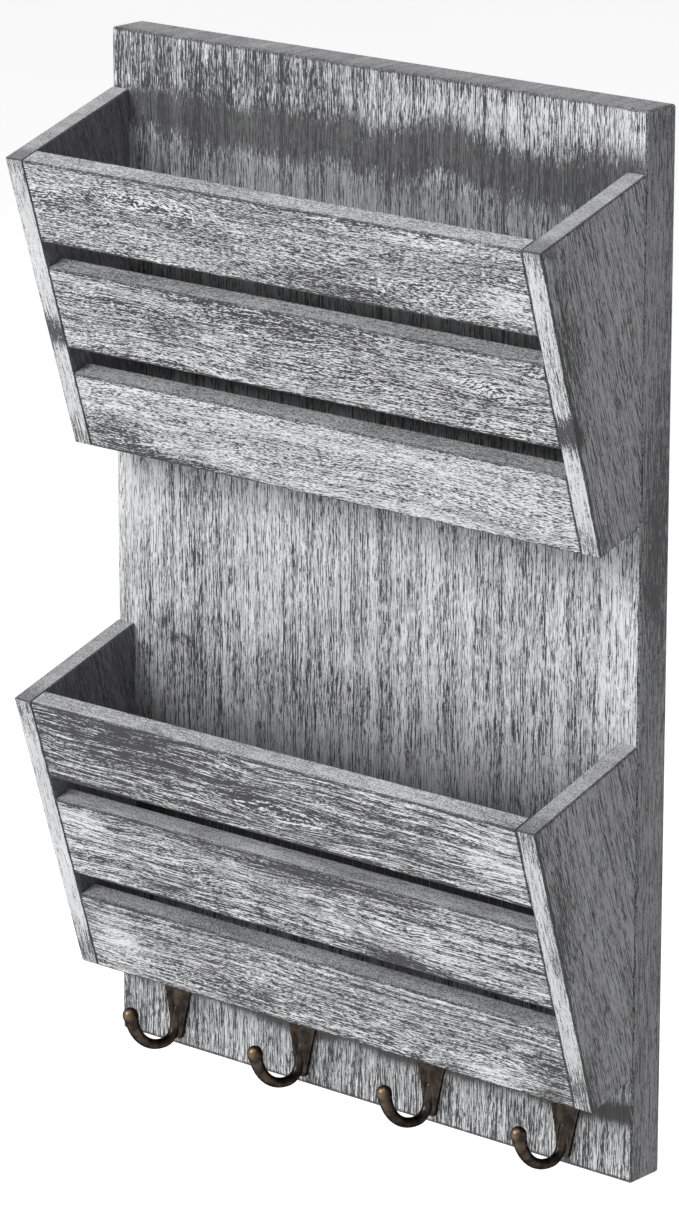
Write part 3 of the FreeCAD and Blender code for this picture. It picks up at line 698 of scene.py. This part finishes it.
def make_leaf(bm):
    """A grid pulled into a leaf, ridged along its middle, with its rim drawn back to the panel."""
    grid = bmesh.ops.create_grid(bm, x_segments=4, y_segments=LEAF_ROWS, size=0.5)["verts"]
    for vert in grid:
        height = (vert.co.y + 0.5) * LEAF_HEIGHT
        half = leaf_half_width(height)
        share = vert.co.x * 2
        fall = (LEAF_RIDGE - LEAF_EDGE) * abs(share) * half / (LEAF_WIDTH / 2)
        vert.co = Vector((share * half, -LEAF_RIDGE + fall, height))
    rim = [edge for edge in bm.edges if edge.is_boundary]
    drawn = bmesh.ops.extrude_edge_only(bm, edges=rim)["geom"]
    for item in drawn:
        if isinstance(item, bmesh.types.BMVert):
            item.co.y = 0
    bmesh.ops.holes_fill(bm, edges=[edge for edge in bm.edges if edge.is_boundary], sides=0)
    bmesh.ops.recalc_face_normals(bm, faces=bm.faces)


bm = bmesh.new()
make_leaf(bm)
print("leaf faces:", len(bm.faces))

# %% [markdown]
# ### The prong's path
#
# The prong comes down steeply along the leaf, turns through a tight bend, and sweeps up again on a wide
# one. Along the wide bend it thickens to a neck, and the knob is a ball that the neck swells into. A
# station is a place in the hook's own upright plane, the heading there, and the diameter.

# %% Stations along the prong
PRONG = 4.4  # diameters, radii and places are in millimetres, turns in degrees
START_LEAN = 10
TIGHT_BEND = 7.0
BEND_PLACE = -10.0
WIDE_BEND = 21.5
SWEEP = 75
ROOT_LENGTH = 8
ROOT_SIZE, ROOT_GROWTH = 3.4, 0.3
NECK_GROWTH = 1.5
KNOB = 6.8
SWELL = 2.6
KNOB_END = 0.97  # how far the rings go round the knob, where 1 is its very end
ROOT_STEPS, TIGHT_STEPS, WIDE_STEPS, SWELL_STEPS, KNOB_STEPS = 4, 8, 12, 3, 10


def prong_stations():
    """Places along the prong, each with its heading in degrees from straight down, and a diameter."""
    stations = []
    lean = math.radians(START_LEAN)
    start = Vector((0, BEND_PLACE + TIGHT_BEND * math.cos(lean), TIGHT_BEND - TIGHT_BEND * math.sin(lean)))
    run = Vector((0, math.sin(lean), math.cos(lean)))
    for step in range(ROOT_STEPS):
        left = ROOT_LENGTH - ROOT_LENGTH / ROOT_STEPS * step
        stations.append((start + run * left, START_LEAN, ROOT_SIZE + step * ROOT_GROWTH))
    for step in range(TIGHT_STEPS + 1):
        turn = START_LEAN + (90 - START_LEAN) * step / TIGHT_STEPS
        angle = math.radians(turn)
        away = BEND_PLACE + TIGHT_BEND * math.cos(angle)
        stations.append((Vector((0, away, TIGHT_BEND - TIGHT_BEND * math.sin(angle))), turn, PRONG))
    for step in range(1, WIDE_STEPS + 1):
        turn = SWEEP * step / WIDE_STEPS
        angle = math.radians(turn)
        place = Vector((0, BEND_PLACE - WIDE_BEND * math.sin(angle), WIDE_BEND - WIDE_BEND * math.cos(angle)))
        stations.append((place, 90 + turn, PRONG + NECK_GROWTH * (step / WIDE_STEPS) ** 2))
    neck, heading, size = stations[-1]
    angle = math.radians(heading)
    ahead = Vector((0, -math.sin(angle), -math.cos(angle)))
    for step in range(1, SWELL_STEPS + 1):
        full = math.sin(math.pi / 2 * step / SWELL_STEPS)
        place = neck + ahead * SWELL * step / SWELL_STEPS
        stations.append((place, heading, size + (KNOB - size) * full))
    for step in range(1, KNOB_STEPS + 1):
        polar = math.pi / 2 * (1 + KNOB_END * step / KNOB_STEPS)
        place = neck + ahead * (SWELL - KNOB / 2 * math.cos(polar))
        stations.append((place, heading, KNOB * math.sin(polar)))
    return stations


print("stations:", len(prong_stations()))

# %% The hook's prong
def make_prong(bm):
    """One circle, extruded from station to station."""
    ring = bmesh.ops.create_circle(bm, cap_ends=True, segments=24, radius=0.5)["verts"]
    ring_edges = [edge for edge in bm.edges if edge.is_boundary and edge.verts[0] in ring]
    seat = Matrix.Identity(4)
    for index, (place, heading, size) in enumerate(prong_stations()):
        turn = Matrix.Rotation(math.radians(180 - heading), 4, "X")
        goal = Matrix.Translation(place) @ turn @ Matrix.Scale(size, 4)
        if index:
            drawn = bmesh.ops.extrude_edge_only(bm, edges=ring_edges)["geom"]
            ring = [item for item in drawn if isinstance(item, bmesh.types.BMVert)]
            ring_edges = [item for item in drawn if isinstance(item, bmesh.types.BMEdge)]
            ring_edges = [edge for edge in ring_edges if edge.verts[0] in ring and edge.verts[1] in ring]
        bmesh.ops.transform(bm, matrix=goal @ seat.inverted(), verts=ring)
        seat = goal
    bmesh.ops.holes_fill(bm, edges=[edge for edge in ring_edges if edge.is_boundary], sides=0)
    bmesh.ops.recalc_face_normals(bm, faces=bm.faces)


make_prong(bm)
print("leaf and prong faces:", len(bm.faces))

# %% [markdown]
# ### Melting leaf and prong together, and sinking the screw seats
#
# The remesh makes one closed skin out of the two overlapping shapes. Its voxels are a third of a
# millimetre, fine enough for the thin rim. The two flat seats for the screws are cut afterwards with
# plain round cutters, so they stay crisp, as if drilled after casting.

# %% From working shapes to finished meshes
def mesh_from(bm, name):
    """A finished mesh from a bmesh that was worked in millimetres."""
    bmesh.ops.scale(bm, vec=(MM, MM, MM), verts=bm.verts)
    mesh = bpy.data.meshes.new(name)
    bm.to_mesh(mesh)
    bm.free()
    return mesh


def new_piece(name, mesh):
    """An object at the origin that shows a mesh."""
    piece = bpy.data.objects.new(name, mesh)
    bpy.context.scene.collection.objects.link(piece)
    return piece


def carved(rough, cutter):
    """The mesh of one object, its modifiers applied, less another; both objects are then thrown away."""
    cut = rough.modifiers.new("cut", "BOOLEAN")
    cut.operation = "DIFFERENCE"
    cut.object = cutter
    cut.use_self = True
    finished = rough.evaluated_get(bpy.context.evaluated_depsgraph_get())
    mesh = bpy.data.meshes.new_from_object(finished)
    for spare in (rough, cutter):
        bpy.data.objects.remove(spare)
    return mesh


# %% The finished hook
HOOK_SCREW_HEIGHTS = (25.5, 34.0)
SEAT_DEPTH = 2.2
SEAT_RADIUS = 2.9
HOLE_RADIUS = 1.45
VOXEL = 0.32

rough_hook = new_piece("rough_hook", mesh_from(bm, "rough_hook"))
remesh = rough_hook.modifiers.new("melt", "REMESH")
remesh.mode = "VOXEL"
remesh.voxel_size = VOXEL * MM
soften = rough_hook.modifiers.new("soften", "SMOOTH")
soften.factor = 0.5
soften.iterations = 4

bm = bmesh.new()
for height in HOOK_SCREW_HEIGHTS:
    for radius, middle, depth, segments in ((SEAT_RADIUS, -SEAT_DEPTH - 5, 10, 48), (HOLE_RADIUS, 0, 12, 32)):
        place = Matrix.Translation((0, middle, height)) @ Matrix.Rotation(math.pi / 2, 4, "X")
        bmesh.ops.create_cone(
            bm, cap_ends=True, segments=segments, radius1=radius, radius2=radius, depth=depth, matrix=place
        )
hook_mesh = carved(rough_hook, new_piece("seat_cutter", mesh_from(bm, "seat_cutter")))
print("hook mesh:", len(hook_mesh.polygons), "faces")

# %% [markdown]
# ### Antique bronze
#
# The castings are plated and darkened almost to black. On the front of the knob, where fingers and cloth
# reach, faces that look forward and up are painted a warm brown: partly rubbed metal, partly a painted
# highlight. Two noises follow the real surface. Clouds of tarnish about four millimetres wide make the brown
# uneven, and the fine skin that tumbling leaves breaks up the gloss. Old tarnish also darkens a metal's
# reflections at a flat angle, which the shader's specular tint does.

# %% Bronze material
# antique bronze plating on a zinc casting, tumbled and rubbed: nearly black, glossy, warm on the knobs,
# partly a painted highlight
CLOUD = 4.0
TUMBLED_SKIN = 0.35
SKIN_DEPTH = 0.05
TOWARDS_THE_HAND_AND_HIGHLIGHT = (0, -0.92, 0.39)
REACH_STARTS, REACH_ENDS = -38.0, -49.0

bronze, tree, shader = new_material("antique bronze plated casting, rubbed")
place = add(tree, "TexCoord", out="Object")
point = add(tree, "VectorMath", {0: place, "Scale": 1 / MM}, operation="SCALE")
cloud = add(tree, "TexNoise", {"Vector": point, "Scale": 1 / CLOUD, "Detail": 4.0}, out="Fac")
skin = add(tree, "TexNoise", {"Vector": point, "Scale": 1 / TUMBLED_SKIN, "Detail": 2.0}, out="Fac")
# faces of the knob that look forward and up: rubbed metal, and a painted highlight
facing = add(tree, "VectorMath", (place.node.outputs["Normal"], TOWARDS_THE_HAND_AND_HIGHLIGHT), **DOT)
touched_and_highlit = add(tree, "MapRange", (facing, 0.5, 1.0), **SMOOTH)
from_wall = add(tree, "SeparateXYZ", (point,), out="Y")
reached = add(tree, "MapRange", (from_wall, REACH_STARTS, REACH_ENDS), **SMOOTH)
rubbed = add(tree, "Math", (reached, touched_and_highlit), operation="MULTIPLY")
uneven = add(tree, "MapRange", (cloud, 0.3, 0.6, 0.55, 1.0), **SMOOTH)
rubbed = add(tree, "Math", (rubbed, uneven), operation="MULTIPLY")
tarnish = add(tree, "MapRange", (cloud, 0.35, 0.65), **SMOOTH)
dark = add(tree, "Mix", {0: tarnish, 6: linear("#2e2a27"), 7: linear("#4b433c")}, **COLOURS)
# warm brown where rubbed, which also stands in for the knob's highlight: a painted highlight
brown = add(tree, "Mix", {0: rubbed, 6: dark, 7: linear("#6f5f4b")}, **COLOURS)
tree.links.new(brown, shader.inputs["Base Color"])
shader.inputs["Metallic"].default_value = 0.9
shader.inputs["Specular Tint"].default_value = linear("#3a322b")
roughness = add(tree, "MapRange", (skin, 0.3, 0.7, 0.27, 0.42), **SMOOTH)
tree.links.new(roughness, shader.inputs["Roughness"])
relief = add(tree, "Bump", {"Strength": 0.25, "Distance": SKIN_DEPTH * MM, "Height": skin})
tree.links.new(relief, shader.inputs["Normal"])
print("bronze uses", len(tree.nodes), "nodes")

# %% The row of hooks
HOOK_SPACING = 71.0
HOOK_XS = [-1.5 * HOOK_SPACING + HOOK_SPACING * index for index in range(4)]
for index, x in enumerate(HOOK_XS):
    mesh = hook_mesh.copy()
    mesh.transform(Matrix.Translation((HOOK_FOOT + Vector((x, 0, 0))) * MM))
    mesh.shade_smooth()
    mesh.materials.clear()
    mesh.materials.append(bronze)
    piece = new_piece(f"cast_hook_{index + 1}", mesh)
    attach(piece, "root")
    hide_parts(f"key_hook_{index + 1}")
print("hooks at x", HOOK_XS)

# %% [markdown]
# ### Hook screws
#
# Each hook is held by two small screws with domed heads and a cross recess, plated like the hook. The
# head's profile is spun round its axis, and a tapered cross is cut into it. Each pair of screws is turned
# a little differently, as a hand leaves them.

# %% Shapes of a screw
PAN_HEAD = [(0, 1.9), (1.3, 1.78), (2.1, 1.35), (2.5, 0.75), (2.6, 0.0)]
SHANK = [(1.4, 0.0), (1.4, -14.2), (0, -14.2)]
RECESS_LENGTH, RECESS_WIDTH, RECESS_DEPTH = 2.8, 0.55, 2.0
RECESS_MIDDLE = 1.6
RECESS_TAPER = 0.45
FACET_ANGLE = math.radians(35)


def make_screw(bm, place):
    """A pan head and a plain shank, spun from half a profile; place takes it to the hook."""
    verts = [bm.verts.new((x, 0, z)) for x, z in PAN_HEAD + SHANK]
    edges = [bm.edges.new(pair) for pair in zip(verts, verts[1:])]
    bmesh.ops.spin(
        bm, geom=verts + edges, cent=(0, 0, 0), axis=(0, 0, 1), angle=2 * math.pi, steps=32, use_merge=True
    )
    bmesh.ops.remove_doubles(bm, verts=bm.verts, dist=1e-4)
    bmesh.ops.recalc_face_normals(bm, faces=bm.faces)
    bmesh.ops.transform(bm, matrix=place, verts=bm.verts)


def make_recess(bm, place):
    """Two crossed wedges that narrow into the head."""
    made = []
    for turn in (0, math.pi / 2):
        wedge = bmesh.ops.create_cube(bm, size=1.0)["verts"]
        for vert in wedge:
            length = RECESS_LENGTH * (RECESS_TAPER if vert.co.z < 0 else 1.0)
            height = vert.co.z * RECESS_DEPTH + RECESS_MIDDLE
            vert.co = Vector((vert.co.x * length, vert.co.y * RECESS_WIDTH, height))
        bmesh.ops.rotate(bm, cent=(0, 0, 0), matrix=Matrix.Rotation(turn, 3, "Z"), verts=wedge)
        made += wedge
    bmesh.ops.transform(bm, matrix=place, verts=made)


def screw_place(x, height, spin):
    """From the screw's own axis to its seat on the hook: the head looks away from the wall."""
    seat = HOOK_FOOT + Vector((x, -SEAT_DEPTH, height))
    return Matrix.Translation(seat) @ Matrix.Rotation(math.pi / 2, 4, "X") @ Matrix.Rotation(spin, 4, "Z")


print("a screw is", PAN_HEAD[0][1] - SHANK[-1][1], "mm long")

# %% Screws
for index, x in enumerate(HOOK_XS):
    heads = bmesh.new()
    recesses = bmesh.new()
    for height in HOOK_SCREW_HEIGHTS:
        place = screw_place(x, height, 0.7 * index + height)
        one = bmesh.new()
        make_screw(one, place)
        spare = bpy.data.meshes.new("one_screw")
        one.to_mesh(spare)
        one.free()
        heads.from_mesh(spare)
        bpy.data.meshes.remove(spare)
        make_recess(recesses, place)
    rough = new_piece("rough_screws", mesh_from(heads, "rough_screws"))
    mesh = carved(rough, new_piece("recess_cutter", mesh_from(recesses, "recess_cutter")))
    mesh.set_sharp_from_angle(angle=FACET_ANGLE)
    mesh.materials.clear()
    mesh.materials.append(bronze)
    piece = new_piece(f"hook_{index + 1}_pan_screws", mesh)
    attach(piece, "root")
    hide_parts(f"key_hook_{index + 1}_screws")
print("screws:", 2 * len(HOOK_XS))

# %% [markdown]
# ## Floor and backdrop
#
# The organizer hangs in front of plain white, so a wide pale floor lies well below it. The floor takes the
# object's shadow as any matt floor does. It and the world glow only for rays that show the backdrop
# itself, straight to the camera, in a reflection or through glass, so the white costs the object no
# contrast.

# %% Floor
# matt white painted floor: an even pale ground without shine, hardly mottled
FLOOR_HEIGHT = -0.62
FLOOR_GLOW = 0.5


def seen_as_backdrop(tree):
    """1 for rays that show the backdrop, 0 for those that light the object."""
    seen = add(tree, "LightPath", out="Is Camera Ray")
    rays = seen.node.outputs
    for kind in ("Is Glossy Ray", "Is Transmission Ray"):
        seen = add(tree, "Math", (seen, rays[kind]), operation="MAXIMUM")
    return seen


bm = bmesh.new()
bmesh.ops.create_grid(bm, x_segments=1, y_segments=1, size=6)
bmesh.ops.translate(bm, vec=(0, 0, FLOOR_HEIGHT), verts=bm.verts)
floor_mesh = bpy.data.meshes.new("floor")
bm.to_mesh(floor_mesh)
bm.free()
floor = new_piece("floor", floor_mesh)
matt_white, tree, shader = new_material("matt white floor")
place = add(tree, "TexCoord", out="Object")
mottle = add(tree, "TexNoise", {"Vector": place, "Scale": 3.0}, out="Fac")
white = add(tree, "Mix", {0: mottle, 6: linear("#f4f4f4"), 7: linear("#f8f8f8")}, **COLOURS)
tree.links.new(white, shader.inputs["Base Color"])
shader.inputs["Roughness"].default_value = 0.9
shader.inputs["Specular IOR Level"].default_value = 0.0
shader.inputs["Emission Color"].default_value = (1, 1, 1, 1)
glow = add(tree, "Math", (seen_as_backdrop(tree), FLOOR_GLOW), operation="MULTIPLY")
tree.links.new(glow, shader.inputs["Emission Strength"])
floor_mesh.materials.append(matt_white)
print("floor at", round(floor_mesh.vertices[0].co.z, 3), "m")

# %% [markdown]
# ## Light
#
# The main light is a large soft panel in front and to the left, so the fronts are bright, the right-hand
# sides fall into a middle grey, and the insides of the bins go dark. A second one hangs above, and a dim
# white world fills the rest.

# %% Lights
ROOM_LIGHT = 0.42


def soft_panel(name, place, size, power):
    """A square area light that looks at the middle of the organizer."""
    data = bpy.data.lights.new(name, "AREA")
    data.shape = "SQUARE"
    data.size = size
    data.energy = power
    light = bpy.data.objects.new(name, data)
    bpy.context.scene.collection.objects.link(light)
    light.location = place
    light.rotation_euler = (-Vector(place)).to_track_quat("-Z", "Y").to_euler()


soft_panel("front left panel", (-1.1, -2.2, 1.5), 1.4, 62)
soft_panel("high panel", (0.4, -0.8, 2.6), 1.6, 26)
world = bpy.data.worlds.new("white room")
bpy.context.scene.world = world
world.use_nodes = True
tree = world.node_tree
background = tree.nodes["Background"]
background.inputs["Color"].default_value = (1, 1, 1, 1)
strength = add(tree, "MapRange", (seen_as_backdrop(tree), 0, 1, ROOM_LIGHT, 1.0), **SMOOTH)
tree.links.new(strength, background.inputs["Strength"])
view = bpy.context.scene.view_settings
view.view_transform = "Standard"
